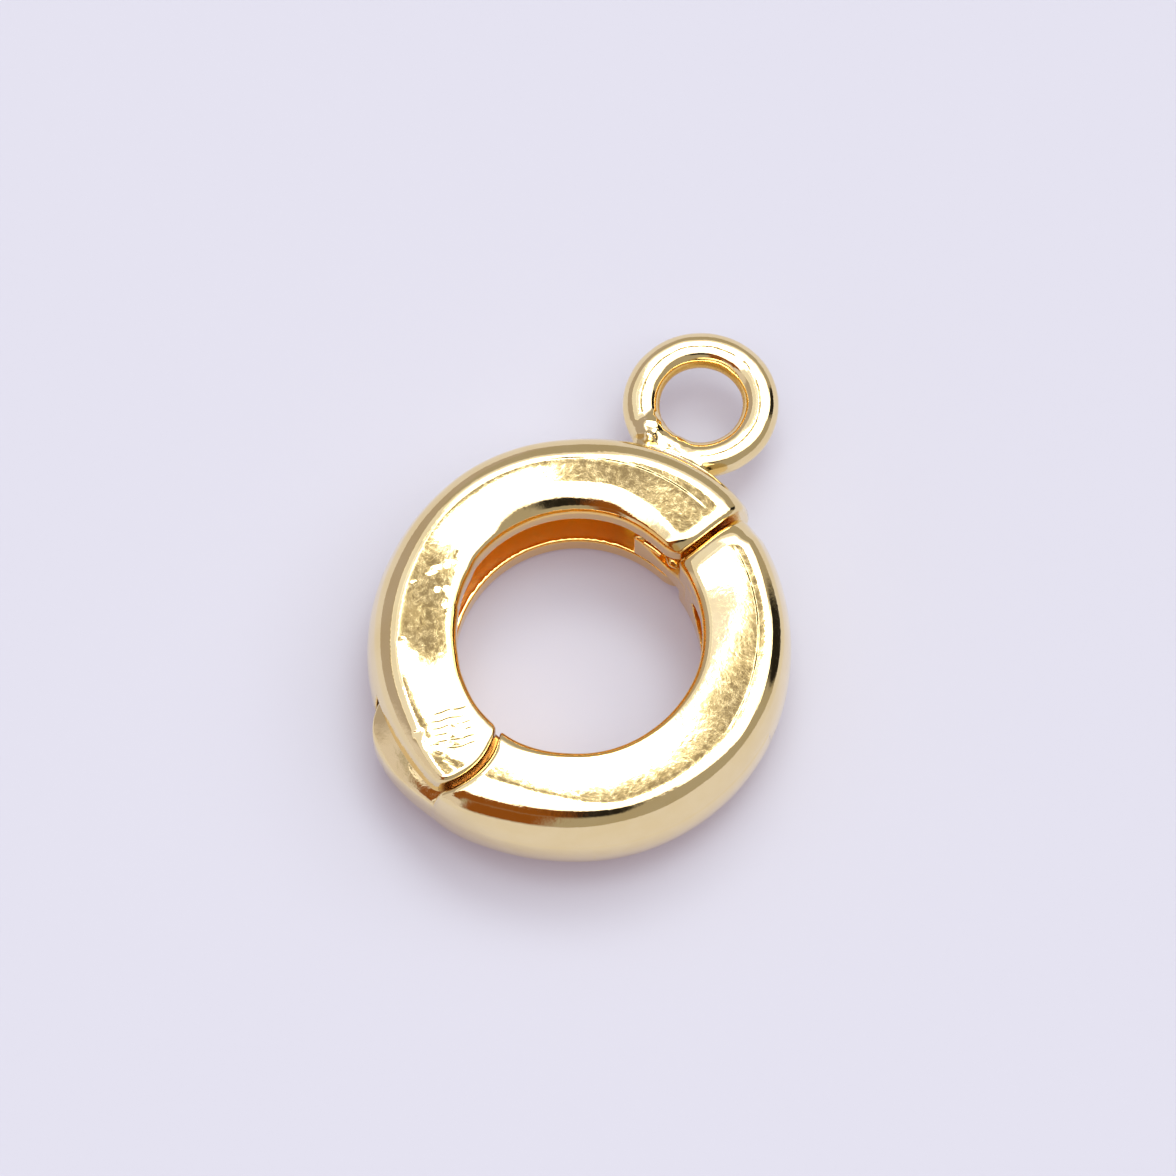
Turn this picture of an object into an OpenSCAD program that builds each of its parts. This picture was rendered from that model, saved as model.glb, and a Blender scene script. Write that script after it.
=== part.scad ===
// Round hinged charm holder clasp, with a soldered loop.
// The ring lies flat in the XY plane with its axis along Z, and the loop
// points along +Y. The ring is cut into two halves: the half that carries the
// loop, and a gate that swings outward on a pin. Angles are counted from +X
// about the ring's own centre. All sizes are in millimetres.

/* [Ring] */
// Outer diameter of the closed ring
ring_od = 12.0; // [11.6:0.1:12.4]
// Diameter of the hole that chains and charms sit in
hole_d = 7.0; // [6.8:0.1:7.2]
// Thickness of the ring along its axis
ring_t = 4.2; // [4.0:0.1:4.6]
// Width of the soft outer edge, from the flat face to the widest point
edge_w = 0.9; // [0.85:0.05:1.0]
// Radius of the corner between the flat face and the side wall
corner_r = 0.7; // [0.6:0.05:0.75]
// Rounding where the flat faces meet the hole
hole_round = 0.3; // [0.2:0.05:0.4]

/* [Channel] */
// Height of the channel that is open to the hole, and of the fork's slot
channel_h = 2.1; // [1.9:0.1:2.2]
// Wall left outside the channel
channel_wall = 0.8; // [0.7:0.05:0.9]

/* [Hinge] */
// Angle of the hinge pin
pin_angle = 235.8; // [234:0.2:238]
// Distance of the hinge pin from the ring's centre
pin_reach = 4.9; // [4.85:0.05:4.95]
// Diameter of the hinge pin
pin_d = 0.9; // [0.8:0.05:1.0]
// Running clearance round the pin, on the radius
pin_play = 0.04; // [0.03:0.01:0.06]
// Radius of the fork's round ends
tine_r = 1.96; // [1.9:0.02:2.0]
// How far the gate's heel stands proud of the ring at the pin
heel_proud = 0.44; // [0.4:0.02:0.48]
// Room above and below the knuckle in the fork
knuckle_play = 0.06; // [0.05:0.01:0.1]

/* [Latch] */
// Angle of the seam where the gate closes
latch_angle = 63.8; // [62:0.2:66]
// Width of the seams
seam_gap = 0.15; // [0.12:0.01:0.2]
// How far the gate's tongue reaches into the channel, in degrees
tongue_sweep = 26; // [20:1:28]
// How far the wall stands proud at the latch end
lip_proud = 0.27; // [0.2:0.01:0.3]

/* [Loop] */
// Outer diameter of the loop
loop_od = 4.44; // [4.3:0.02:4.6]
// Thickness of the loop's wire
wire_d = 1.04; // [0.96:0.02:1.1]
// Distance of the loop's centre from the ring's centre
loop_reach = 8.02; // [7.95:0.01:8.1]
// Wear land cut in the loop's throat, on the radius
land = 0.02; // [0.02:0.01:0.04]

/* [Hidden] */
$fn = 96;

ring_r = ring_od / 2;
hole_r = hole_d / 2;
flat_r = ring_r - edge_w;            // outer edge of the flat faces
mid_z = ring_t / 2;
chan_lo = mid_z - channel_h / 2;     // floor of the channel
chan_hi = mid_z + channel_h / 2;     // roof of the channel
chan_r = ring_r - channel_wall;      // outer wall of the channel

// Hinge
pin_x = pin_reach * cos(pin_angle);
pin_y = pin_reach * sin(pin_angle);
pin_top = ring_t - 0.45;             // the pin stops short of the upper face
heel_off = 1.8;                      // centre of the heel's own outline
heel_r = ring_r + heel_proud - heel_off;
heel_reach = ring_r + heel_proud - pin_reach;   // heel beyond the pin
heel_w = 1.05;                       // softer edge on the heel
heel_corner = 0.75;
knuckle_r = heel_reach;
slot_r = knuckle_r + 0.08;           // room for the knuckle to turn
shoulder_r = tine_r + seam_gap;      // hollow end of the gate round the fork

// Latch
lip_off = 0.42;
lip_r = ring_r + lip_proud - lip_off;
lip_w = 1.2;                         // softer edge on the lip
tongue_r = chan_r - 0.2;
tongue_lo = chan_lo + 0.07;
tongue_hi = chan_hi - 0.4;
bead_r = 0.2;                        // catch bead on the tongue's inner edge
rib_r = 0.08;                        // rib that runs from the bead to the tip

// Channels, as [first angle, sweep]
half_chan = [latch_angle - 4, 141];
gate_chan = [-69, 116];

// Loop
loop_r = (loop_od - wire_d) / 2;
loop_bore = loop_r - wire_d / 2 + land;
pad_r = 1.3;                         // solder between loop and ring
pad_h = 0.96;

// The origin is the middle of the outline, on the face it lies on
tip_y = loop_reach + loop_od / 2;
low_y = max(ring_r, heel_r - heel_off * sin(pin_angle));
ring_y = -(tip_y - low_y) / 2;

// Points on an arc about c, from angle a to angle b in n steps
function arc(c, r, a, b, n) =
    [for (i = [0:n]) let (t = a + (b - a) * i / n) [c[0] + r * cos(t), c[1] + r * sin(t)]];

// Outer edge from the lower face to the upper one: corner, crowned side, corner
function outer_edge(r, w, c) =
    let (h = mid_z - c,
         s = (w * w + h * h - c * c) / (2 * (w - c)),
         b = asin(h / (s - c)))
    concat(arc([r - w, c], c, -90, -b, 5),
           arc([r - s, mid_z], s, -0.6 * b, 0.6 * b, 4),
           arc([r - w, ring_t - c], c, b, 90, 5));

// The whole ring, before it is cut in two
module ring_blank()
    rotate_extrude()
        polygon(concat(
            arc([hole_r + hole_round, hole_round], hole_round, 180, 270, 3),
            outer_edge(ring_r, edge_w, corner_r),
            arc([hole_r + hole_round, ring_t - hole_round], hole_round, 90, 180, 3)));

// A second crowned outline about a centre that is set off towards an angle
module crowned_outline(angle, off, r, w, c, inner)
    rotate(angle) translate([off, 0, 0])
        rotate_extrude()
            polygon(concat([[inner, 0]], outer_edge(r, w, c), [[inner, ring_t]]));

// Everything on the left of the line at this angle, looking outward from the
// ring's centre. dist moves the line to the left.
module left_of(angle, dist = 0, lo = -1, hi = ring_t + 1)
    rotate(angle) translate([-15, dist, lo]) cube([30, 15, hi - lo]);

module right_of(angle, dist = 0, lo = -1, hi = ring_t + 1)
    rotate(angle) translate([-15, -15 - dist, lo]) cube([30, 15, hi - lo]);

module at_pin() translate([pin_x, pin_y, 0]) children();

module disc(r, lo = -1, hi = ring_t + 1)
    translate([0, 0, lo]) cylinder(r = r, h = hi - lo);

module channel(span)
    rotate([0, 0, span[0]])
        rotate_extrude(angle = span[1])
            translate([hole_r - 1, chan_lo]) square([chan_r - hole_r + 1, channel_h]);

// The wire loop, with the solder that joins it to the ring
module loop_wire()
    translate([0, 0, mid_z]) {
        translate([0, loop_reach, 0])
            rotate_extrude() translate([loop_r, 0]) circle(d = wire_d, $fn = 48);
        translate([0, loop_reach - loop_r + wire_d / 2 - pad_r - 0.06, -pad_h / 2])
            cylinder(r = pad_r, h = pad_h);
    }

module loop_half()
    color([0.93, 0.79, 0.47])
    translate([0, ring_y, 0])
    difference() {
        union() {
            intersection() {
                union() {
                    ring_blank();
                    crowned_outline(latch_angle + 2, lip_off, lip_r, lip_w, 0.9, hole_r + lip_off + 0.2);
                }
                union() {
                    intersection() {
                        left_of(latch_angle, seam_gap / 2);
                        right_of(pin_angle);
                    }
                    at_pin() disc(tine_r);
                }
            }
            loop_wire();
        }
        channel(half_chan);
        // slot of the fork
        at_pin() disc(slot_r, chan_lo, chan_hi);
        left_of(pin_angle, 0, chan_lo, chan_hi);
        // blind hole for the pin, from below
        at_pin() disc(pin_d / 2 + 0.02, -1, pin_top + 0.03);
        // throat of the loop
        translate([0, loop_reach, 0]) disc(loop_bore);
    }

// Gate outline: the ring, with the heel standing proud round the pin
module gate_blank()
    union() {
        ring_blank();
        difference() {
            crowned_outline(pin_angle, heel_off, heel_r, heel_w, heel_corner, 1.5);
            disc(hole_r + 0.6);
        }
    }

module tongue()
    rotate([0, 0, latch_angle - 8])
        rotate_extrude(angle = tongue_sweep + 8)
            polygon([[hole_r, tongue_lo], [tongue_r, tongue_lo],
                     [tongue_r, tongue_hi], [hole_r + 0.25, tongue_hi],
                     [hole_r, tongue_hi - 0.12]]);

// Rib and bead on the tongue, that spring past the channel's roof
module catch() {
    rotate([0, 0, latch_angle - 2])
        rotate_extrude(angle = tongue_sweep - 4)
            translate([hole_r + 0.2, tongue_hi]) circle(r = rib_r, $fn = 24);
    rotate(latch_angle + 2.5) translate([hole_r + 0.26, 0, tongue_hi + 0.05])
        sphere(r = bead_r, $fn = 32);
}

// Where the gate's metal is: full height beyond the seams, and a slab between
// the tines that ends in the knuckle
module gate_region()
    union() {
        difference() {
            union() {
                right_of(latch_angle, seam_gap / 2);
                left_of(pin_angle);
            }
            at_pin() disc(shoulder_r);
        }
        left_of(pin_angle, 0, chan_lo + knuckle_play, chan_hi - knuckle_play);
        at_pin() disc(knuckle_r, chan_lo + knuckle_play, chan_hi - knuckle_play);
    }

module gate()
    color([0.95, 0.82, 0.50])
    translate([0, ring_y, 0])
    difference() {
        union() {
            intersection() {
                gate_blank();
                gate_region();
            }
            tongue();
            catch();
        }
        channel(gate_chan);
        at_pin() disc(pin_d / 2 + pin_play);
    }

module hinge_pin()
    color([0.86, 0.72, 0.42])
    translate([0, ring_y, 0])
        at_pin() disc(pin_d / 2, 0.02, pin_top);

loop_half();
gate();
hinge_pin();
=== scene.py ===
import math
import time

import bpy
import numpy as np
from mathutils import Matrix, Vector


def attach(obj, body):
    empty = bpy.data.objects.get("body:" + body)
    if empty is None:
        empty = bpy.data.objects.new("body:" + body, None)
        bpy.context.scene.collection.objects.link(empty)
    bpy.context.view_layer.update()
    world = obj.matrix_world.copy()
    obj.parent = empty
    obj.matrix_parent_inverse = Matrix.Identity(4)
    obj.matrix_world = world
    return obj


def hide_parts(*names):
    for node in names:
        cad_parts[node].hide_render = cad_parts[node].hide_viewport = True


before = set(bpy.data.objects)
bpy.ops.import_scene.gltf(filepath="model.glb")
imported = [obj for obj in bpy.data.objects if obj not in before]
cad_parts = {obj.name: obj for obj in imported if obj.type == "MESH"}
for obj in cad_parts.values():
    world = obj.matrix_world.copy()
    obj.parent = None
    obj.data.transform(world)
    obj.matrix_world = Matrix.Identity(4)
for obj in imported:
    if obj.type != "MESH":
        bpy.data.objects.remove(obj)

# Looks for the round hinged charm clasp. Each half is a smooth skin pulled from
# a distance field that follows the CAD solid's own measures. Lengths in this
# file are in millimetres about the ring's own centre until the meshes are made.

T0 = time.time()
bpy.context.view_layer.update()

# ---------------------------------------------------------------- measures

RING_Y = -2.055625            # ring's centre in the row frame
MID = 2.1                     # half the thickness
PIN_DEG = 235.8
LATCH_DEG = 63.8
GAP = 0.15
PIN_X = 4.9 * math.cos(math.radians(PIN_DEG))
PIN_Y = 4.9 * math.sin(math.radians(PIN_DEG))
CHAN = 1.05                   # half height of the channel
CHAN_R = 5.2                  # outer wall of the channel
LOOP_Y = 8.02
LOOP_R = 1.70
WIRE_R = 0.52


# ------------------------------------------------------------ field helpers

def table(pairs, blur=4.0):
    """A smooth function of the angle in degrees, from a few (angle, value) pairs."""
    a = np.array(sorted(pairs), float)
    deg = np.arange(-180.0, 540.5, 0.5)
    v = np.interp(deg, np.concatenate([a[:, 0] - 360, a[:, 0], a[:, 0] + 360]), np.tile(a[:, 1], 3))
    k = np.exp(-0.5 * (np.arange(-3 * blur, 3 * blur + 0.25, 0.5) / blur) ** 2)
    v = np.convolve(np.pad(v, len(k) // 2, mode="edge"), k / k.sum(), mode="valid")
    return lambda t: np.interp(t, deg, v)


def both(a, b, k):
    """Intersection with a rounded edge of radius k."""
    u, v = np.maximum(a + k, 0), np.maximum(b + k, 0)
    return np.minimum(np.maximum(a, b), -k) + np.sqrt(u * u + v * v)


def less(a, b, k):
    """a without b, with a rounded edge."""
    return both(a, -b, k)


def join(a, b, k):
    """Union with a soft fillet."""
    h = np.maximum(k - np.abs(a - b), 0) / k
    return np.minimum(a, b) - h * h * k * 0.25


def step(a, b, x):
    t = np.clip((x - a) / (b - a), 0, 1)
    return t * t * (3 - 2 * t)


def left(x, y, deg):
    """Distance to the left of the line at this angle through the ring's centre."""
    t = math.radians(deg)
    return y * math.cos(t) - x * math.sin(t)


_waves = {}
ROUGH = False                 # the first, coarse look at a field leaves the noise out


def noise(x, y, z, size, seed):
    """Smooth noise between about -1 and 1, with features of this size."""
    if ROUGH:
        return 0.0
    if seed not in _waves:
        g = np.random.default_rng(seed)
        k = g.normal(size=(9, 3))
        k /= np.linalg.norm(k, axis=1)[:, None]
        _waves[seed] = k * g.uniform(0.7, 1.6, (9, 1)), g.uniform(0, 2 * math.pi, 9)
    k, ph = _waves[seed]
    k = k * (math.pi / size)
    out = 0
    for i in range(9):
        out = out + np.sin(k[i, 0] * x + k[i, 1] * y + k[i, 2] * z + ph[i])
    return out / 3.6


def ring(r, z, R, w, rho, rin, kr, kz, lift):
    """Section of the ring: a crowned side wall, corners of radius rho that end
    the flat faces at R - w, and an elliptical edge, kr by kz, at the hole."""
    zc = np.abs(z - MID) - lift
    h = MID - rho
    s = (w * w + h * h - rho * rho) / (2 * (w - rho))
    cx = R - s
    a = zc - MID
    b = np.hypot(r - cx, zc) - s
    u, v = r - (R - w), zc - h
    corner = (u > 0) & (zc * (s - w) > (r - cx) * h)
    out = np.where(corner, np.hypot(u, v) - rho, np.maximum(a, b))
    c = rin - r
    U, V = np.maximum(a + kz, 0) / kz, np.maximum(c + kr, 0) / kr
    t = U + V
    k = (kz * U + kr * V) / np.where(t > 0, t, 1)
    hole = np.where(t > 0, (np.sqrt(U * U + V * V) - 1) * k, np.maximum(a, c))
    return np.maximum(out, hole)


# ------------------------------------------------------------- the two halves

R_HALF = table([(40, 6.27), (60, 6.28), (76, 6.27), (90, 6.22), (104, 6.14), (114, 6.06), (126, 6.0), (150, 5.99),
                (162, 5.94), (180, 5.92), (194, 5.95), (218, 5.97), (250, 5.97), (300, 6.0)], 3)
W_HALF = table([(40, 0.90), (76, 0.90), (86, 0.94), (105, 0.98), (118, 0.96), (128, 0.92), (220, 0.90), (230, 0.86), (238, 0.74),
                (246, 0.54), (254, 0.40), (300, 0.40)], 2.5)
C_HALF = table([(40, 0.70), (90, 0.72), (220, 0.70), (230, 0.67), (238, 0.56), (246, 0.38), (254, 0.28), (300, 0.28)], 2.5)
KR_HALF = table([(40, 0.17), (160, 0.17), (176, 0.15), (240, 0.15), (300, 0.17)])
KZ_HALF = table([(40, 0.20), (160, 0.20), (176, 0.17), (240, 0.17), (300, 0.20)])
# a broad crown in front of the inner edge: how much of it there is, and where it begins
CROWN = table([(30, 0.34), (150, 0.34), (166, 0.36), (180, 0.72), (240, 0.75), (300, 0.5)], 3)
CROWN_R = table([(40, 4.02), (66, 4.06), (76, 4.10), (86, 4.24), (100, 4.42), (150, 4.42), (166, 4.12), (178, 3.86), (192, 3.74),
                 (214, 3.68), (240, 3.80), (300, 3.83)], 3)
# how steeply each flat face climbs outward: nought where it lies level
TILT_HALF = table([(50, 0.016), (108, 0.018), (118, 0.03), (132, 0.06), (146, 0.075), (166, 0.072), (178, 0.012), (184, 0.0),
                   (212, 0.0), (224, 0.070), (260, 0.075), (300, 0.03)], 2.5)
PIVOT = table([(50, 4.6), (188, 4.6), (206, 4.2), (300, 4.2)], 3)
TILT_GATE = table([(220, 0.070), (250, 0.070), (264, 0.056), (284, 0.058), (300, 0.052), (330, 0.048), (350, 0.042), (10, 0.042),
                   (24, 0.048), (42, 0.080), (80, 0.080)], 4)
# how soon the flat faces roll over towards the outer edge
ROLL_HALF = table([(50, 0.04), (98, 0.04), (116, 0.15), (300, 0.15)], 3)
ROLL_GATE = table([(220, 0.15), (335, 0.15), (356, 0.05), (50, 0.04), (80, 0.04)], 3)

R_GATE = table([(200, 6.30), (222, 6.43), (235.8, 6.44), (241.8, 6.41), (247.8, 6.32), (254, 6.23), (262, 6.20),
                (270, 6.13), (278, 6.09), (286, 6.03), (294, 6.0), (330, 6.0), (360, 6.01), (38, 6.03), (50, 6.07),
                (62, 6.06), (80, 6.06)], 3)
# how far above the corner the sloping facet lies
FACET = table([(200, 0.2), (240, 0.1), (252, 0.03), (262, 0.0), (276, 0.0), (290, 0.06), (316, 0.3), (80, 0.3)], 5)
STEEP = table([(300, 0.1), (346, 0.06), (0, 0.01), (14, -0.020), (36, -0.020), (50, 0.01), (64, 0.06), (90, 0.1)], 3)
# small cast lumps (and, below nought, dents) on the body's upper face: x, y, width, height
LUMPS = [(-4.45, -0.14, 0.060, 0.016), (-4.33, -0.05, 0.05, 0.014), (-4.22, 0.16, 0.05, 0.016), (-3.97, 0.54, 0.075, 0.022),
         (-4.14, -0.58, 0.050, 0.020), (-3.79, -0.47, 0.08, 0.016), (-3.71, -0.89, 0.06, 0.020), (-3.77, 0.02, 0.05, 0.016),
         (-4.79, -0.73, 0.030, 0.006), (-3.55, -1.0, 0.05, 0.018), (-4.05, 0.30, 0.05, 0.012),
         (-1.95, -4.53, 0.24, -0.022), (-2.25, -4.75, 0.16, -0.016), (-1.60, -4.60, 0.13, -0.012),
         (-2.72, -4.62, 0.10, -0.022), (-2.45, -4.30, 0.09, 0.012), (-4.35, -2.35, 0.12, -0.010), (-2.0, -4.05, 0.11, -0.008)]
# height of the tongue's inner edge, above which it slopes back to the rib
SCOOP = table([(50, 2.4), (63, 2.38), (66, 2.10), (70, 1.96), (77, 2.08), (84, 2.55), (90, 2.80), (100, 2.8)], 1.5)
W_GATE = table([(210, 0.92), (236, 0.86), (250, 0.80), (264, 0.82), (276, 0.96), (290, 0.97), (335, 0.94), (350, 0.84),
                (5, 0.77), (28, 0.77), (46, 0.82), (80, 0.86)], 3)
C_GATE = table([(210, 0.70), (262, 0.68), (282, 0.63), (335, 0.63), (355, 0.59), (10, 0.57), (46, 0.57), (66, 0.62), (80, 0.64)], 3)
# rounding at the hole, sharper by the hinge
KR_GATE = table([(210, 0.13), (240, 0.14), (252, 0.26), (262, 0.36), (276, 0.26), (290, 0.19), (330, 0.18), (350, 0.25), (8, 0.29),
                 (80, 0.30)], 3)
KZ_GATE = table([(210, 0.16), (240, 0.17), (256, 0.24), (266, 0.26), (290, 0.20), (330, 0.20), (352, 0.24), (8, 0.27), (80, 0.27)], 3)
RIN_GATE = table([(210, 3.5), (250, 3.51), (264, 3.53), (276, 3.49), (290, 3.44), (335, 3.44), (352, 3.46), (8, 3.5), (80, 3.5)], 3)


def half_field(p):
    x, y, z = p[:, 0], p[:, 1], p[:, 2]
    r = np.hypot(x, y)
    t = np.degrees(np.arctan2(y, x)) % 360
    t = np.where(t > 330, t - 360, t)
    up = z > MID
    # cast and hand-polished: the faces wave a little, the upper one bellies
    flow = 0.007 * noise(x, y, z, 2.3, 3) + 0.0016 * noise(x, y, z, 0.8, 5)
    R = R_HALF(t) + 0.3 * flow
    q = np.clip(r, 3.3, 5.3)
    # the level part by the hinge reaches further back near the hole
    top = flow + TILT_HALF(t + 5 * (q - 4.3) * step(195, 204, t)) * (q - PIVOT(t)) - 0.02 * np.maximum(4.5 - q, 0) ** 2 * step(170, 182, t)
    top = top - ROLL_HALF(t) * np.maximum(q - 4.9, 0) ** 2 - CROWN(t) * np.maximum(CROWN_R(t) - q, 0) ** 2
    # the end at the latch is dressed back, most of all at the hole
    back = np.maximum(0.66 - left(x, y, LATCH_DEG), 0) * (t < 120)
    swell = np.sqrt(back ** 2 + 0.7 * np.maximum(4.25 - r, 0) ** 2 + np.maximum(r - 5.2, 0) ** 2)
    top = top - 0.14 * step(0, 0.4, back) * np.maximum(swell - 0.1, 0) ** 2
    m = up & (t > 165) & (t < 262)
    if not ROUGH and m.any():
        wx, wy = x[m], y[m]
        wx, wy = wx + 0.05 * noise(wx, wy, 0 * wx, 0.16, 13), wy + 0.05 * noise(wx, wy, 0 * wx, 0.16, 14)
        lumps = 0
        for lx, ly, w, h in LUMPS:
            lumps = lumps + h * np.exp(-((wx - lx) ** 2 + (wy - ly) ** 2) / (w * w))
        top[m] += lumps
    lift = np.where(up, top, 0.5 * flow)
    kr = np.where(up, KR_HALF(t), 0.3)
    kz = np.where(up, KZ_HALF(t), 0.3)
    # the plate above the channel is set back a little from the one below
    rin = 3.5 + 0.07 * step(1.6, 3.0, z) * step(75, 100, t) * (1 - step(170, 200, t))
    rin = rin - 0.06 * step(2.4, 3.2, z) * step(168, 176, t) * (1 - step(190, 193, t))
    rin = rin - 0.09 * step(2.4, 3.2, z) * step(189, 196, t) * (1 - 0.5 * step(214, 226, t)) * (1 - step(226, 244, t))
    d = ring(r, z, R, W_HALF(t), C_HALF(t), rin, kr, kz, lift)
    # the ends: a straight seam at the latch, a round fork at the hinge
    wedge = np.maximum(0.052 - left(x, y, LATCH_DEG), left(x, y, PIN_DEG))
    pin = np.hypot(x - PIN_X, y - PIN_Y)
    end = np.minimum(wedge, pin - 1.96)
    latch = t < 150
    d = both(d, end - 0.045 * latch, np.where(latch, 0.26 + 0.30 * (1 - step(3.5, 4.4, r)), 0.17 - 0.07 * (1 - step(3.7, 4.1, r))))
    d = np.where(latch, both(d, end, 0.03), d)
    # channel and fork slot
    slab = np.abs(z - MID) - CHAN
    chan = both(slab, r - CHAN_R, 0.12)
    chan = np.maximum(chan, np.maximum(-left(x, y, 59.8), left(x, y, 200.8)))
    slot = np.maximum(slab, np.minimum(pin - 1.62, -left(x, y, PIN_DEG)))
    d = less(d, np.minimum(chan, slot), 0.075)
    d = less(d, np.maximum(pin - 0.47, z - 3.78), 0.05)
    # loop and solder
    ly = y - LOOP_Y
    # seen from above the loop is a little squashed along one line
    sx, sy = math.cos(math.radians(115.8)), math.sin(math.radians(115.8))
    s = x * sx + ly * sy
    q = 0.045 * s
    lx, lyy = x + q * sx, ly + q * sy
    lr = np.hypot(lx, lyy)
    wire = np.hypot(lr - LOOP_R, z - MID) - (WIRE_R + 0.012 * noise(x, y, z, 1.1, 11) + 0.004 * noise(x, y, z, 0.45, 12))
    wire = both(wire, np.abs(z - MID) - 0.535, 0.10)
    dent = np.exp(-((x - 0.72) ** 2 + (y - 9.44) ** 2) / 0.12) * up
    wire = wire + dent * (0.028 + 0.010 * noise(x, y, z, 0.18, 15))
    pad = both(np.hypot(x + 0.1, y - 5.50) - 1.26, np.abs(z - MID) - 0.46, 0.3)
    pad = pad - 0.05 * noise(x, y, z, 0.55, 21) - 0.014 * noise(x, y, z, 0.17, 22)
    lump = np.hypot(np.hypot(x + 0.95, y - 6.62), (z - 2.35) * 0.9) - 0.42
    lump = lump - 0.05 * noise(x, y, z, 0.35, 23) - 0.022 * noise(x, y, z, 0.15, 24)
    solder = join(pad, lump, 0.25)
    loop = join(wire, solder, 0.22)
    d = join(d, loop, 0.16)
    return d


def gate_field(p):
    x, y, z = p[:, 0], p[:, 1], p[:, 2]
    r = np.hypot(x, y)
    t = np.degrees(np.arctan2(y, x)) % 360
    up = z > MID
    flow = 0.007 * noise(x, y, z, 2.1, 31) + 0.0016 * noise(x, y, z, 0.8, 33)
    R = R_GATE(t) + 0.3 * flow
    q = np.clip(r, 3.3, 5.25)
    top = flow + TILT_GATE(t) * (q - 4.6) - 0.025 * (q - 4.4) ** 2 - ROLL_GATE(t) * np.maximum(q - 4.9, 0) ** 2
    # the end at the latch is dressed round like a cushion
    back = np.maximum(0.95 + left(x, y, LATCH_DEG), 0) * (x > 0) * (y > 0)
    soft = step(0, 0.4, back)
    top = top - 0.30 * soft * np.maximum(np.hypot(back, np.maximum(r - 4.70, 0)) - 0.34, 0) ** 2
    top = top - 0.25 * soft * np.maximum(np.hypot(back, np.maximum(4.05 - r, 0)) - 0.34, 0) ** 2
    lift = np.where(up, top, 0.5 * flow)
    C = C_GATE(t)
    rin = 3.5 + (RIN_GATE(t) - 3.5) * step(2.4, 3.4, z)
    d = ring(r, z, R, W_GATE(t), C, rin, np.where(up, KR_GATE(t), 0.3), np.where(up, KZ_GATE(t), 0.3), lift)
    fe = math.radians(66)
    facet = (r - (R - W_GATE(t) + 0.10)) * math.cos(fe) + (z - 4.2 - FACET(t)) * math.sin(fe)
    d = both(d, facet, 0.25)
    fe = math.radians(50)
    d = both(d, (r - (R - W_GATE(t))) * math.cos(fe) + (z - lift - 4.2 + C) * math.sin(fe) - C - STEEP(t), 0.03)
    pin = np.hypot(x - PIN_X, y - PIN_Y)
    a1 = left(x, y, LATCH_DEG) + 0.038
    a2 = -left(x, y, PIN_DEG)
    full = np.maximum(np.minimum(a1, a2), 2.11 - pin)
    slab = np.abs(z - MID) - (CHAN - 0.06)
    knuckle = both(slab, np.minimum(a2, pin - 1.54), 0.1)
    far = step(150, 200, t) * (1 - step(290, 330, t))
    # the heel falls away outward between the fork's ends, left rough from the file
    fall = (r - 5.84 - 0.012 * noise(x, y, z, 0.9, 37)) * 0.45 + (z - 2.97 - 0.003 * noise(x, y, z, 0.40, 39)) * 0.89
    tall = 1.16 + 1.3 * step(228, 254, t)
    dome = (np.hypot(np.maximum(r - R + 1.0, 0), np.maximum(z - MID, 0) / tall) - 1.0) * 0.9
    dome = np.where(t > 300, -1.0, dome)
    heel = both(both(d, knuckle, 0.1), both(fall, dome, 0.06), 0.05)
    turn = 0.26 - 0.05 * far - 0.11 * far * (1 - step(3.7, 4.2, r))
    latch = far < 0.5
    block = both(d, full - 0.045 * latch, turn)
    block = np.where(latch, both(block, full, 0.03), block)
    d = join(block, heel, 0.05)
    # slot round the inside, which runs out in a point near the latch
    run = np.where(t > 180, t - 360, t)
    hh = CHAN * np.sqrt(np.clip((48.5 - run) / 15, 1e-4, 1))
    chan = both(np.abs(z - MID) - hh, r - CHAN_R, 0.12)
    chan = np.maximum(chan, np.maximum(-left(x, y, -69), left(x, y, 48.5)))
    d = less(d, chan, 0.075)
    # tongue, with the groove under its rib and the catch bead
    tongue = both(np.abs(z - 1.935) - 0.815, np.maximum(3.5 - r, r - 5.0), 0.1)
    tongue = both(tongue, np.maximum(left(x, y, 89.8), -left(x, y, 55.8)), 0.12)
    scoop = (z - SCOOP(t) - 1.15 * (r - 3.5)) / 1.52
    tongue = both(tongue, scoop, 0.05)
    rib = np.maximum(np.hypot((r - 3.555) * 0.8, z - 2.71) - 0.075, np.maximum(left(x, y, 84.5), -left(x, y, 74.0)))
    tongue = join(tongue, rib, 0.05)
    bt = math.radians(68.4)
    across = (x * math.sin(bt) - y * math.cos(bt)) * 0.72
    bead = np.sqrt((x * math.cos(bt) + y * math.sin(bt) - 3.66) ** 2 + across ** 2 + (z - 2.60) ** 2) - 0.165
    bead = bead - 0.025 * noise(x, y, z, 0.2, 41)
    tongue = join(tongue, bead, 0.06)
    d = join(d, tongue, 0.05)
    d = less(d, pin - 0.49, 0.05)
    return d


# ------------------------------------------------------------------- meshing

EDGES = [((0, 0, 0), (1, 0, 0)), ((0, 1, 0), (1, 1, 0)), ((0, 0, 1), (1, 0, 1)), ((0, 1, 1), (1, 1, 1)),
         ((0, 0, 0), (0, 1, 0)), ((1, 0, 0), (1, 1, 0)), ((0, 0, 1), (0, 1, 1)), ((1, 0, 1), (1, 1, 1)),
         ((0, 0, 0), (0, 0, 1)), ((1, 0, 0), (1, 0, 1)), ((0, 1, 0), (0, 1, 1)), ((1, 1, 0), (1, 1, 1))]


def in_chunks(f, p, size=400000):
    return np.concatenate([f(p[i:i + size]) for i in range(0, len(p), size)])


def slope(f, p, e=0.004):
    """Value and gradient of the field, from four points round each one."""
    k = np.array([(1, -1, -1), (-1, -1, 1), (-1, 1, -1), (1, 1, 1)], float)
    v = [in_chunks(f, p + e * q) for q in k]
    return sum(v) / 4, sum(a[:, None] * q for a, q in zip(v, k)) / (4 * e)


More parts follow.
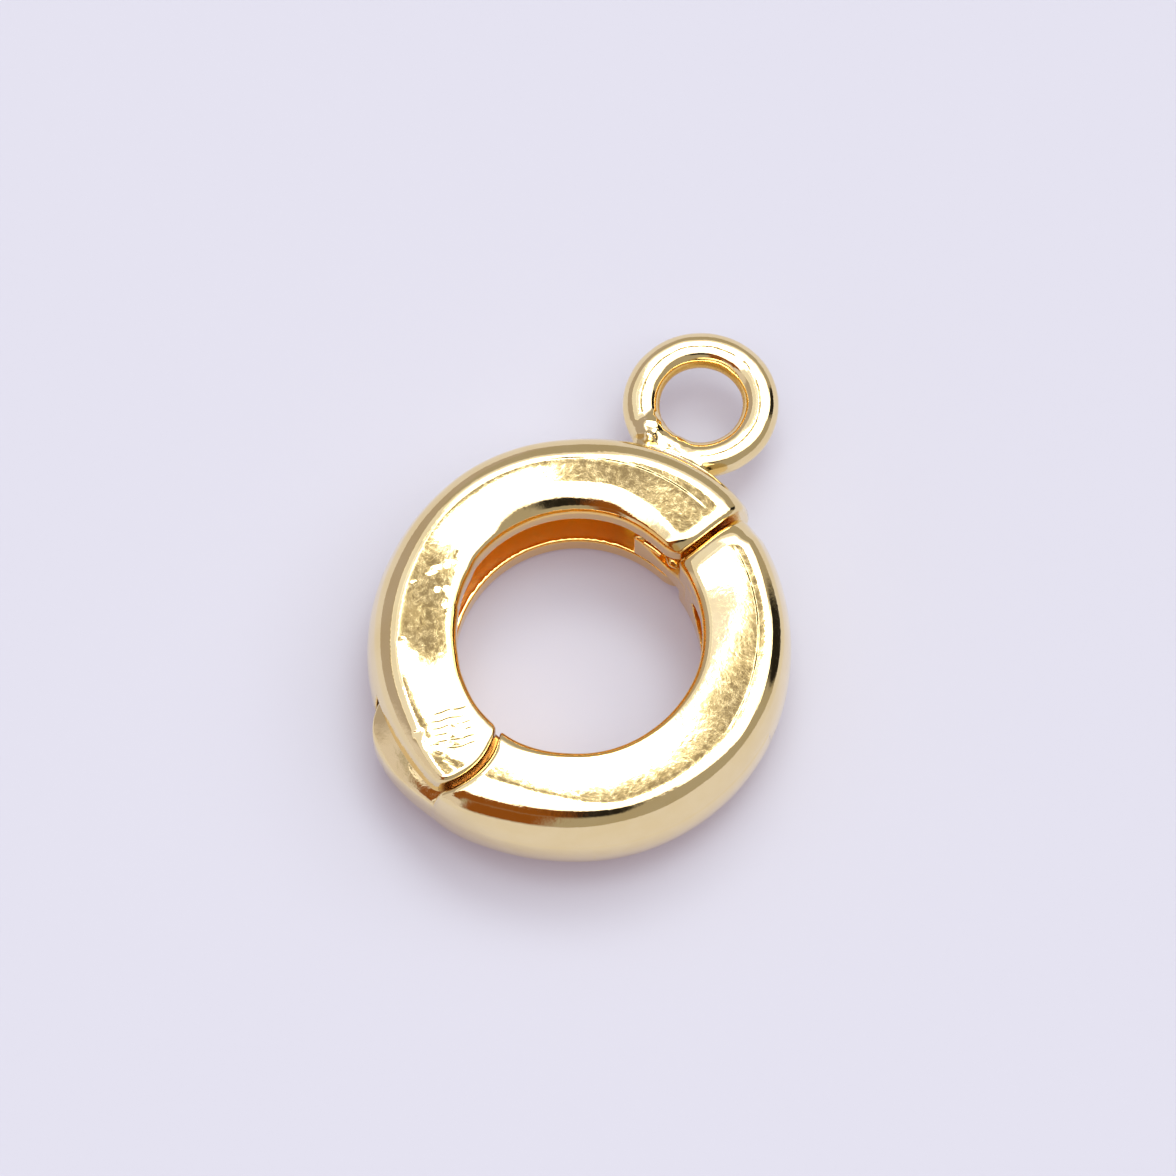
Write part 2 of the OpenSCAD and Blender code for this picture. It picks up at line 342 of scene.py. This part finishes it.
def settle(f, p, turns):
    for _ in range(turns):
        v, g = slope(f, p)
        n2 = np.maximum((g * g).sum(1), 0.05)
        move = (v / n2)[:, None] * g
        far = np.linalg.norm(move, axis=1)
        p = p - move * np.minimum(1, 0.05 / np.maximum(far, 1e-9))[:, None]
    return p


def skin(f, lo, hi, h):
    """Vertices, outward normals and faces of the surface where the field is nought."""
    global ROUGH
    ROUGH = True
    lo, hi = np.array(lo, float), np.array(hi, float)
    block = 4
    n = (np.ceil((hi - lo) / h / block).astype(int)) * block
    cn = n // block
    axes = [lo[i] + h * block * (np.arange(cn[i]) + 0.5) for i in range(3)]
    mid = np.stack(np.meshgrid(*axes, indexing="ij"), -1).reshape(-1, 3)
    cv = in_chunks(f, mid).reshape(cn)
    near = np.abs(cv) < h * block * 1.5
    vol = np.repeat(np.repeat(np.repeat(cv, block, 0), block, 1), block, 2)
    take = np.repeat(np.repeat(np.repeat(near, block, 0), block, 1), block, 2)
    idx = np.argwhere(take)
    vol[take] = in_chunks(f, lo + h * (idx + 0.5))
    ROUGH = False
    ins = vol < 0
    cnt = sum(ins[a:ins.shape[0] - 1 + a, b:ins.shape[1] - 1 + b, c:ins.shape[2] - 1 + c].astype(np.int8)
              for a in (0, 1) for b in (0, 1) for c in (0, 1))
    cell = (cnt > 0) & (cnt < 8)
    ci = np.argwhere(cell)
    num = -np.ones(cell.shape, np.int64)
    num[cell] = np.arange(len(ci))
    acc, k = np.zeros((len(ci), 3)), np.zeros(len(ci))
    for a, b in EDGES:
        a, b = np.array(a), np.array(b)
        va, vb = vol[tuple((ci + a).T)], vol[tuple((ci + b).T)]
        m = (va < 0) != (vb < 0)
        s = va[m] / (va[m] - vb[m])
        acc[m] += a + s[:, None] * (b - a)
        k[m] += 1
    v = lo + h * (ci + 0.5 + acc / k[:, None])
    quads = []
    for ax in range(3):
        b, c = np.eye(3, dtype=int)[(ax + 1) % 3], np.eye(3, dtype=int)[(ax + 2) % 3]
        sl0 = [slice(None)] * 3
        sl1 = [slice(None)] * 3
        sl0[ax], sl1[ax] = slice(None, -1), slice(1, None)
        s0, s1 = ins[tuple(sl0)], ins[tuple(sl1)]
        e = np.argwhere(s0 != s1)
        o1, o2 = (ax + 1) % 3, (ax + 2) % 3
        e = e[(e[:, o1] > 0) & (e[:, o2] > 0) & (e[:, o1] < n[o1] - 1) & (e[:, o2] < n[o2] - 1)]
        q = np.stack([num[tuple(e.T)], num[tuple((e - b).T)], num[tuple((e - b - c).T)], num[tuple((e - c).T)]], -1)
        flip = ~ins[tuple(e.T)]
        q[flip] = q[flip][:, ::-1]
        quads.append(q)
    q = np.concatenate(quads)
    v = settle(f, v, 3)
    # even out the quads along the surface, then put them back on it
    ea = np.concatenate([q[:, i] for i in range(4)])
    eb = np.concatenate([q[:, (i + 1) % 4] for i in range(4)])
    deg = np.bincount(ea, minlength=len(v)) + np.bincount(eb, minlength=len(v))
    for _ in range(3):
        mean = np.stack([np.bincount(ea, v[eb, i], len(v)) + np.bincount(eb, v[ea, i], len(v)) for i in range(3)], -1)
        mean /= deg[:, None]
        g = slope(f, v)[1]
        g /= np.maximum(np.linalg.norm(g, axis=1), 1e-6)[:, None]
        d = mean - v
        v = v + 0.6 * (d - (d * g).sum(1)[:, None] * g)
        v = settle(f, v, 1)
    v = settle(f, v, 2)
    g = slope(f, v, 0.012)[1]
    g /= np.maximum(np.linalg.norm(g, axis=1), 1e-6)[:, None]
    return v, g, q


def skin_object(name, f, lo, hi, h):
    v, g, q = skin(f, lo, hi, h)
    v = (v + [0, RING_Y, 0]) * 0.001
    mesh = bpy.data.meshes.new(name)
    mesh.vertices.add(len(v))
    mesh.vertices.foreach_set("co", v.astype(np.float32).ravel())
    mesh.loops.add(len(q) * 4)
    mesh.loops.foreach_set("vertex_index", q.astype(np.int32).ravel())
    mesh.polygons.add(len(q))
    mesh.polygons.foreach_set("loop_start", np.arange(len(q), dtype=np.int32) * 4)
    mesh.update(calc_edges=True)
    mesh.validate()
    mesh.shade_smooth()
    mesh.normals_split_custom_set_from_vertices([tuple(n) for n in g])
    o = bpy.data.objects.new(name, mesh)
    bpy.context.scene.collection.objects.link(o)
    print(name, len(v), "vertices", len(q) * 2, "triangles", round(time.time() - T0, 1), "s")
    return o


STEP = 0.068
half = skin_object("half_skin", half_field, (-6.25, -6.35, -0.2), (3.0, 10.5, 4.45), STEP)
gate = skin_object("gate_skin", gate_field, (-4.6, -6.4, -0.2), (6.3, 5.8, 4.45), STEP)


# hinge pin: drawn wire with a slightly peened foot, set in the fork's blind hole
def lathe(name, cx, cy, profile, turns=48):
    verts, faces = [], []
    m = len(profile)
    for i in range(turns):
        a = 2 * math.pi * i / turns
        verts += [((cx + r * math.cos(a)) * 0.001, (cy + RING_Y + r * math.sin(a)) * 0.001, z * 0.001) for r, z in profile]
    for i in range(turns):
        j = (i + 1) % turns
        faces += [(i * m + k, j * m + k, j * m + k + 1, i * m + k + 1) for k in range(m - 1)]
    faces += [tuple(i * m for i in range(turns))[::-1], tuple(i * m + m - 1 for i in range(turns))]
    mesh = bpy.data.meshes.new(name)
    mesh.from_pydata(verts, [], faces)
    mesh.update()
    mesh.shade_smooth()
    o = bpy.data.objects.new(name, mesh)
    bpy.context.scene.collection.objects.link(o)
    return o


foot = [(0.10, 0.030), (0.22, 0.034), (0.32, 0.046), (0.39, 0.070), (0.43, 0.105), (0.448, 0.15)]
head = [(0.448, 3.62), (0.43, 3.68), (0.39, 3.72), (0.30, 3.745), (0.12, 3.75)]
pin = lathe("pin_wire", PIN_X, PIN_Y, foot + [(0.446, 1.2), (0.448, 2.4)] + head)

for o, node, body, slot in ((half, "loop_half", "loop_half", "gold_plate"), (gate, "gate", "gate", "gold_plate"),
                            (pin, "hinge_pin", "loop_half", "pin_metal")):
    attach(o, body)
    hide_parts(node)


# ----------------------------------------------------------------- materials

class Tree:
    """Short calls for building a node tree."""

    def __init__(self, tree):
        self.t = tree
        tree.nodes.clear()

    def node(self, kind, **props):
        n = self.t.nodes.new(kind)
        for k, v in props.items():
            setattr(n, k, v)
        return n

    def put(self, sock, v):
        if isinstance(v, bpy.types.NodeSocket):
            self.t.links.new(v, sock)
        elif v is not None:
            sock.default_value = v

    def math(self, op, a, b=None, c=None, clamp=False):
        n = self.node("ShaderNodeMath", operation=op, use_clamp=clamp)
        for s, v in zip(n.inputs, (a, b, c)):
            self.put(s, v)
        return n.outputs[0]

    def band(self, v, a, b, to0=0.0, to1=1.0):
        n = self.node("ShaderNodeMapRange", interpolation_type="SMOOTHSTEP")
        for s, q in zip(n.inputs, (v, a, b, to0, to1)):
            self.put(s, q)
        return n.outputs[0]

    def mix(self, f, a, b):
        n = self.node("ShaderNodeMix", data_type="RGBA")
        self.put(n.inputs[0], f)
        self.put(n.inputs[6], a)
        self.put(n.inputs[7], b)
        return n.outputs[2]

    def noise(self, vec, scale, detail=2.0, rough=0.5, distortion=0.0):
        n = self.node("ShaderNodeTexNoise")
        self.put(n.inputs["Vector"], vec)
        n.inputs["Scale"].default_value = scale
        n.inputs["Detail"].default_value = detail
        n.inputs["Roughness"].default_value = rough
        n.inputs["Distortion"].default_value = distortion
        return n.outputs[0]


def metal(name, light, deep, rough, recess=False):
    m = bpy.data.materials.new(name)
    m.use_nodes = True
    t = Tree(m.node_tree)
    out = t.node("ShaderNodeOutputMaterial")
    bsdf = t.node("ShaderNodeBsdfPrincipled")
    t.put(out.inputs[0], bsdf.outputs[0])
    co = t.node("ShaderNodeTexCoord").outputs["Object"]
    mm = t.node("ShaderNodeVectorMath", operation="SCALE")
    t.put(mm.inputs[0], co)
    mm.inputs["Scale"].default_value = 1000.0
    mm = mm.outputs[0]
    patch = t.noise(mm, 0.9, 3.0)
    t.put(bsdf.inputs["Base Color"], t.mix(t.band(patch, 0.3, 0.7), light, deep))
    bsdf.inputs["Metallic"].default_value = 1.0
    speck = t.noise(mm, 6.0, 4.0, 0.6)
    finish = t.band(speck, 0.35, 0.75, rough * 0.7, rough * 1.6)
    # painted shade: the recesses, gaps and hole walls get a deeper, darker gold base colour that stands in for the
    # shade and interreflection in them; the channel, fork gap, eye and seam are also rougher
    if recess:
        sep = t.node("ShaderNodeSeparateXYZ")
        t.put(sep.inputs[0], mm)
        sx, sz = sep.outputs[0], sep.outputs[2]
        sy = t.math("SUBTRACT", sep.outputs[1], RING_Y)

        def away(cx, cy):
            a, b = t.math("SUBTRACT", sx, cx), t.math("SUBTRACT", sy, cy)
            return t.math("SQRT", t.math("ADD", t.math("MULTIPLY", a, a), t.math("MULTIPLY", b, b)))

        rr = away(0.0, 0.0)
        # painted shade: deep orange in the channel, for the light dimmed by many bounces there
        channel_shade = t.math("MULTIPLY", t.band(rr, 3.60, 3.72), t.band(rr, 5.36, 5.26))
        channel_shade = t.math("MULTIPLY", channel_shade, t.band(t.math("ABSOLUTE", t.math("SUBTRACT", sz, MID)), 1.12, 1.03))
        within = t.math("MULTIPLY", t.band(rr, 3.42, 3.50), t.band(rr, 5.85, 5.75))
        # painted shade: dark brown on the floor of the gap in the hinge fork
        fork_shade = t.band(t.math("ABSOLUTE", t.math("SUBTRACT", away(PIN_X, PIN_Y), 2.03)), 0.125, 0.085)
        fork_shade = t.math("MULTIPLY", t.math("MULTIPLY", fork_shade, t.band(sz, 4.12, 4.02)), t.math("MULTIPLY", within, t.band(sx, 0.5, 0.4)))
        beyond = t.math("SUBTRACT", t.math("MULTIPLY", sy, math.cos(math.radians(PIN_DEG))),
                        t.math("MULTIPLY", sx, math.sin(math.radians(PIN_DEG))))
        fork_shade = t.math("MULTIPLY", fork_shade, t.band(beyond, -0.1, 0.0))
        # painted shade: darker orange on the walls of the gap at the latch seam
        seam_shade = t.math("SUBTRACT", t.math("MULTIPLY", sy, math.cos(math.radians(LATCH_DEG))),
                      t.math("MULTIPLY", sx, math.sin(math.radians(LATCH_DEG))))
        seam_shade = t.math("MULTIPLY", t.band(t.math("ABSOLUTE", seam_shade), 0.085, 0.055), t.band(sz, 4.05, 3.90))
        seam_shade = t.math("MULTIPLY", t.math("MULTIPLY", seam_shade, t.band(rr, 3.58, 3.70)), t.math("MULTIPLY", within, t.band(sx, 0.5, 0.6)))
        # painted shade: deep orange inside the loop, for the interreflected light under the wire
        eye = t.math("MULTIPLY", t.band(away(0.0, LOOP_Y), 1.34, 1.26), t.band(sz, 2.45, 2.30))
        # painted reflection: orange on the wall of the hole and on its rim near the latch
        turn = t.math("ARCTAN2", sy, sx)
        rim_reflection = t.math("MULTIPLY", t.math("MULTIPLY", t.band(turn, 1.11, 1.14), t.band(turn, 1.64, 1.46)), t.band(sz, 4.13, 4.07))
        hole_wall_reflection = t.math("MULTIPLY", t.math("MAXIMUM", t.band(rr, 3.66, 3.56), t.math("MULTIPLY", rim_reflection, t.band(rr, 3.84, 3.74))), 0.8)
        shade = t.mix(t.band(patch, 0.3, 0.7), light, deep)
        shade = t.mix(hole_wall_reflection, shade, (0.91, 0.55, 0.13, 1))
        shade = t.mix(channel_shade, shade, (0.97, 0.71, 0.19, 1))
        shade = t.mix(eye, shade, (0.86, 0.52, 0.10, 1))
        shade = t.mix(fork_shade, shade, (0.40, 0.19, 0.04, 1))
        shade = t.mix(seam_shade, shade, (0.74, 0.44, 0.08, 1))
        # painted shade: a fine dark line where the flat faces end, standing in for the dark reflection in the edge's
        # rounding; it is also rougher
        ang = t.math("ARCTAN2", sy, sx)
        over = t.math("MULTIPLY", t.band(ang, 1.22, 1.34), t.band(ang, 3.12, 3.0))
        gate_arc = t.math("MULTIPLY", t.band(ang, -0.20, 0.0), t.band(ang, 1.0, 0.85))
        where = t.math("ADD", t.math("MULTIPLY", over, t.band(ang, 2.05, 2.3, 1.0, 0.35)), gate_arc)
        crease_shade = t.math("ABSOLUTE", t.math("SUBTRACT", rr, t.band(ang, 1.0, 1.2, 5.055, 5.10)))
        crease_shade = t.math("MULTIPLY", t.band(crease_shade, 0.042, 0.012), t.math("MULTIPLY", where, t.band(sz, 4.05, 4.12)))
        crease_shade = t.math("MULTIPLY", crease_shade, t.band(t.noise(mm, 2.2, 2.0), 0.30, 0.50, 0.35, 1.0))
        shade = t.mix(crease_shade, shade, (0.048, 0.030, 0.007, 1))
        # a few strokes of a fine file by the hinge, painted as dark lines in the colour: painted shade for the way the
        # marks catch the light; they also lower the bump a little and are rougher
        lie = math.radians(41)
        al = t.math("ADD", t.math("MULTIPLY", t.math("SUBTRACT", sx, -2.02), math.cos(lie)),
                    t.math("MULTIPLY", t.math("SUBTRACT", sy, -3.95), math.sin(lie)))
        ac = t.math("SUBTRACT", t.math("MULTIPLY", t.math("SUBTRACT", sy, -3.95), math.cos(lie)),
                    t.math("MULTIPLY", t.math("SUBTRACT", sx, -2.02), math.sin(lie)))
        ac = t.math("ADD", ac, t.math("MULTIPLY", t.noise(mm, 1.6, 1.0), 0.22))
        stroke = t.math("POWER", t.math("ABSOLUTE", t.math("SINE", t.math("MULTIPLY", ac, 15.0))), 4.0)
        file_stroke_shade = t.math("MULTIPLY", t.math("MULTIPLY", t.band(al, -0.75, -0.45), t.band(al, 0.75, 0.45)),
                      t.math("MULTIPLY", t.band(ac, -0.75, -0.55), t.band(ac, 0.85, 0.65)))
        file_stroke_shade = t.math("MULTIPLY", file_stroke_shade, t.band(t.noise(mm, 2.4, 2.0), 0.30, 0.46))
        file_stroke_shade = t.math("MULTIPLY", t.math("MULTIPLY", file_stroke_shade, stroke), t.band(sz, 4.0, 4.1))
        file_stroke_shade = t.band(file_stroke_shade, 0.18, 1.05)
        shade = t.mix(file_stroke_shade, shade, (0.075, 0.052, 0.020, 1))
        t.put(bsdf.inputs["Base Color"], shade)
        hidden = t.math("MAXIMUM", t.math("MAXIMUM", channel_shade, fork_shade), t.math("MAXIMUM", eye, t.math("MULTIPLY", seam_shade, 0.3)))
        finish = t.math("ADD", finish, t.math("MULTIPLY", hidden, 0.18))
        finish = t.math("ADD", finish, t.math("MULTIPLY", t.math("MAXIMUM", crease_shade, t.math("MULTIPLY", file_stroke_shade, 0.8)), 0.5))
    t.put(bsdf.inputs["Roughness"], finish)
    # orange peel left by the polish under the plating
    peel = t.math("ADD", t.noise(mm, 3.0, 2.0, 0.55, 0.4), t.math("MULTIPLY", t.noise(mm, 8.5, 1.0, 0.5, 0.8), 0.30))
    if recess:
        # one place rubbed smooth, on the left of the body
        rubbed = t.math("MINIMUM", t.math("MINIMUM", away(-4.53, -1.55), away(-4.42, -1.86)), away(-4.27, -2.18))
        rubbed = t.band(t.math("ADD", rubbed, t.math("MULTIPLY", t.noise(mm, 1.9, 2.0), 0.30)), 0.52, 0.42)
        peel = t.math("MULTIPLY", t.math("SUBTRACT", peel, 0.65), t.math("SUBTRACT", 1.0, t.math("MULTIPLY", rubbed, 0.9)))
        peel = t.math("SUBTRACT", peel, t.math("MULTIPLY", file_stroke_shade, 0.15))
    bump = t.node("ShaderNodeBump")
    bump.inputs["Strength"].default_value = 0.7
    bump.inputs["Distance"].default_value = 0.0000045
    t.put(bump.inputs["Height"], peel)
    t.put(bsdf.inputs["Normal"], bump.outputs[0])
    return m


gold = metal("gold_plate", (0.93, 0.76, 0.42, 1), (0.90, 0.72, 0.37, 1), 0.07, True)
pin_gold = metal("pin_metal", (0.88, 0.70, 0.38, 1), (0.80, 0.62, 0.32, 1), 0.16)
for o, m in ((half, gold), (gate, gold), (pin, pin_gold)):
    o.data.materials.append(m)

# -------------------------------------------------------------- floor, light

AZ, EL = math.radians(25.8), math.radians(75.0)
right = Vector((math.cos(AZ), math.sin(AZ), 0))
upward = Vector((-math.sin(AZ) * math.sin(EL), math.cos(AZ) * math.sin(EL), math.cos(EL)))
back = Vector((math.sin(AZ) * math.cos(EL), -math.cos(AZ) * math.cos(EL), math.sin(EL)))
deep = Vector((-math.sin(AZ), math.cos(AZ), 0))

mesh = bpy.data.meshes.new("floor")
F = 1.5
mesh.from_pydata([(-F, -F, 0), (F, -F, 0), (F, F, 0), (-F, F, 0)], [], [(0, 1, 2, 3)])
floor = bpy.data.objects.new("floor", mesh)
floor.location.z = -0.00002
bpy.context.scene.collection.objects.link(floor)
paper = bpy.data.materials.new("paper")
paper.use_nodes = True
t = Tree(paper.node_tree)
out = t.node("ShaderNodeOutputMaterial")
pb = t.node("ShaderNodeBsdfPrincipled")
t.put(out.inputs[0], pb.outputs[0])
pb.inputs["Roughness"].default_value = 0.9
pb.inputs["Specular IOR Level"].default_value = 0.2
co = t.node("ShaderNodeTexCoord").outputs["Object"]
t.put(pb.inputs["Base Color"], t.mix(t.noise(co, 40.0, 2.0), (0.311, 0.346, 0.385, 1), (0.316, 0.351, 0.390, 1)))
# the table lets a little light through, so that shadows stay pale
pb.inputs["Emission Color"].default_value = (0.19, 0.135, 0.165, 1)
pb.inputs["Emission Strength"].default_value = 1.0
paper.cycles.emission_sampling = "NONE"
floor.data.materials.append(paper)

world = bpy.data.worlds.new("studio")
bpy.context.scene.world = world
world.use_nodes = True
w = Tree(world.node_tree)
wout = w.node("ShaderNodeOutputWorld")
D = w.node("ShaderNodeTexCoord").outputs["Generated"]


def along(v):
    n = w.node("ShaderNodeVectorMath", operation="DOT_PRODUCT")
    w.put(n.inputs[0], D)
    n.inputs[1].default_value = tuple(v)
    return n.outputs["Value"]


X, Y = along(right), along(deep)
Z = w.math("MAXIMUM", along(Vector((0, 0, 1))), 0.0001)
U, V = w.math("DIVIDE", X, Z), w.math("DIVIDE", Y, Z)


def window(s, a, b, soft):
    return w.math("MULTIPLY", w.band(s, a - soft, a + soft), w.band(s, b + soft, b - soft))


def panel(u0, u1, v0, v1, soft=0.04):
    return w.math("MULTIPLY", window(U, u0, u1, soft), window(V, v0, v1, soft))


base = (0.43, 0.395, 0.36, 1)
black = (0.02, 0.017, 0.015, 1)
# everything is laid out in U, V: distances on a plane held over the clasp
dv = w.math("SUBTRACT", V, 0.268)
rho = w.math("SQRT", w.math("ADD", w.math("MULTIPLY", U, U), w.math("MULTIPLY", dv, dv)))
key = w.math("SQRT", w.math("ADD", w.math("POWER", w.math("SUBTRACT", U, 0.04), 2.0), w.math("POWER", w.math("SUBTRACT", V, 0.33), 2.0)))
west = w.math("ADD", w.math("MULTIPLY", w.math("ABSOLUTE", dv), 0.85), U)
west = w.band(west, 0.02, -0.05)
lower = w.math("ADD", dv, w.math("MULTIPLY", w.math("ABSOLUTE", U), 0.40))
close = w.math("MULTIPLY", west, w.math("MULTIPLY", window(rho, 0.10, 0.30, 0.03), w.band(lower, -0.02, 0.02)))
west = w.math("MULTIPLY", west, w.band(rho, 0.24, 0.32))
side = w.math("DIVIDE", Y, w.math("MAXIMUM", X, 0.01))
east = w.math("MULTIPLY", w.band(X, 0.0, 0.05), window(side, 0.02, 0.53, 0.07))
col = w.mix(w.band(U, -0.95, -1.05), base, (0.47, 0.42, 0.44, 1))
# low on the left, towards the photographer, the table runs on pale
tilt = w.math("DIVIDE", Y, w.math("MINIMUM", X, -0.01))
col = w.mix(w.math("MULTIPLY", w.band(U, -0.92, -1.05), window(tilt, 0.13, 1.5, 0.07)), col, (0.74, 0.70, 0.80, 1))
col = w.mix(panel(-0.88, 1.06, -0.42, 1.20), col, w.mix(w.band(V, 0.78, 0.87), (2.85, 2.65, 2.8, 1), (0.95, 0.92, 1.0, 1)))
col = w.mix(w.band(key, 0.44, 0.28), col, (11.5, 11.5, 11.5, 1))
col = w.mix(close, col, (1.03, 1.03, 1.22, 1))
col = w.mix(w.math("MULTIPLY", west, w.band(U, -0.90, -0.84)), col, (0.90, 0.90, 1.0, 1))
col = w.mix(w.math("MULTIPLY", east, window(U, 1.0, 1.6, 0.05)), col, (2.4, 2.4, 2.4, 1))
col = w.mix(w.math("MULTIPLY", east, w.band(U, 1.5, 1.7)), col, black)
# the photographer's side: a dark band, browner to the left
near = w.math("MULTIPLY", w.math("MULTIPLY", w.band(U, -1.0, -0.9), w.band(U, 0.34, 0.18)),
              w.math("MULTIPLY", w.band(V, -1.05, -0.78), w.band(V, -0.41, -0.45)))
brown = (0.27, 0.085, 0.015, 1)
col = w.mix(near, col, w.mix(w.band(U, -0.02, -0.18), black, brown))
# the brown reaches down to the table on its left
slant = w.math("DIVIDE", X, w.math("MAXIMUM", w.math("MULTIPLY", Y, -1.0), 0.01))
low = w.math("MULTIPLY", window(slant, -0.60, -0.16, 0.06), w.math("MULTIPLY", w.band(V, -0.80, -1.0), w.band(V, -9.0, -6.0)))
low = w.math("MAXIMUM", low, w.math("MULTIPLY", window(slant, -0.90, -0.70, 0.05), window(V, -1.30, -0.80, 0.08)))
col = w.mix(low, col, brown)
col = w.mix(w.band(rho, 0.112, 0.078), col, w.mix(close, (1.35, 1.30, 1.20, 1), (1.0, 0.97, 0.95, 1)))
col = w.mix(w.band(rho, 0.076, 0.048), col, (0.70, 0.62, 0.50, 1))
col = w.mix(w.band(rho, 0.044, 0.018), col, (0.34, 0.29, 0.23, 1))
bg = w.node("ShaderNodeBackground")
w.put(bg.inputs[0], col)
plain = w.node("ShaderNodeBackground")
plain.inputs[0].default_value = (0.77, 0.76, 0.87, 1)
ms = w.node("ShaderNodeMixShader")
w.put(ms.inputs[0], w.node("ShaderNodeLightPath").outputs["Is Camera Ray"])
w.put(ms.inputs[1], bg.outputs[0])
w.put(ms.inputs[2], plain.outputs[0])
w.put(wout.inputs[0], ms.outputs[0])

# -------------------------------------------------------------------- camera

cam = bpy.data.cameras.new("camera")
cam.sensor_width = 36.0
cam.lens = 300.0
co = bpy.data.objects.new("camera", cam)
bpy.context.scene.collection.objects.link(co)
aim = Vector((0, RING_Y, MID)) + right * 0.2825 + upward * 1.78
far = 1176 / 35.4 * cam.lens / cam.sensor_width
co.location = (aim + back * far) * 0.001
co.rotation_mode = "QUATERNION"
co.rotation_quaternion = (-back).to_track_quat("-Z", "Y")
cam.clip_start, cam.clip_end = 0.01, 20.0
bpy.context.scene.camera = co

sc = bpy.context.scene
sc.view_settings.view_transform = "Standard"
sc.view_settings.look = "None"
sc.cycles.max_bounces = 14
sc.cycles.glossy_bounces = 14
sc.cycles.diffuse_bounces = 4
sc.cycles.use_denoising = True
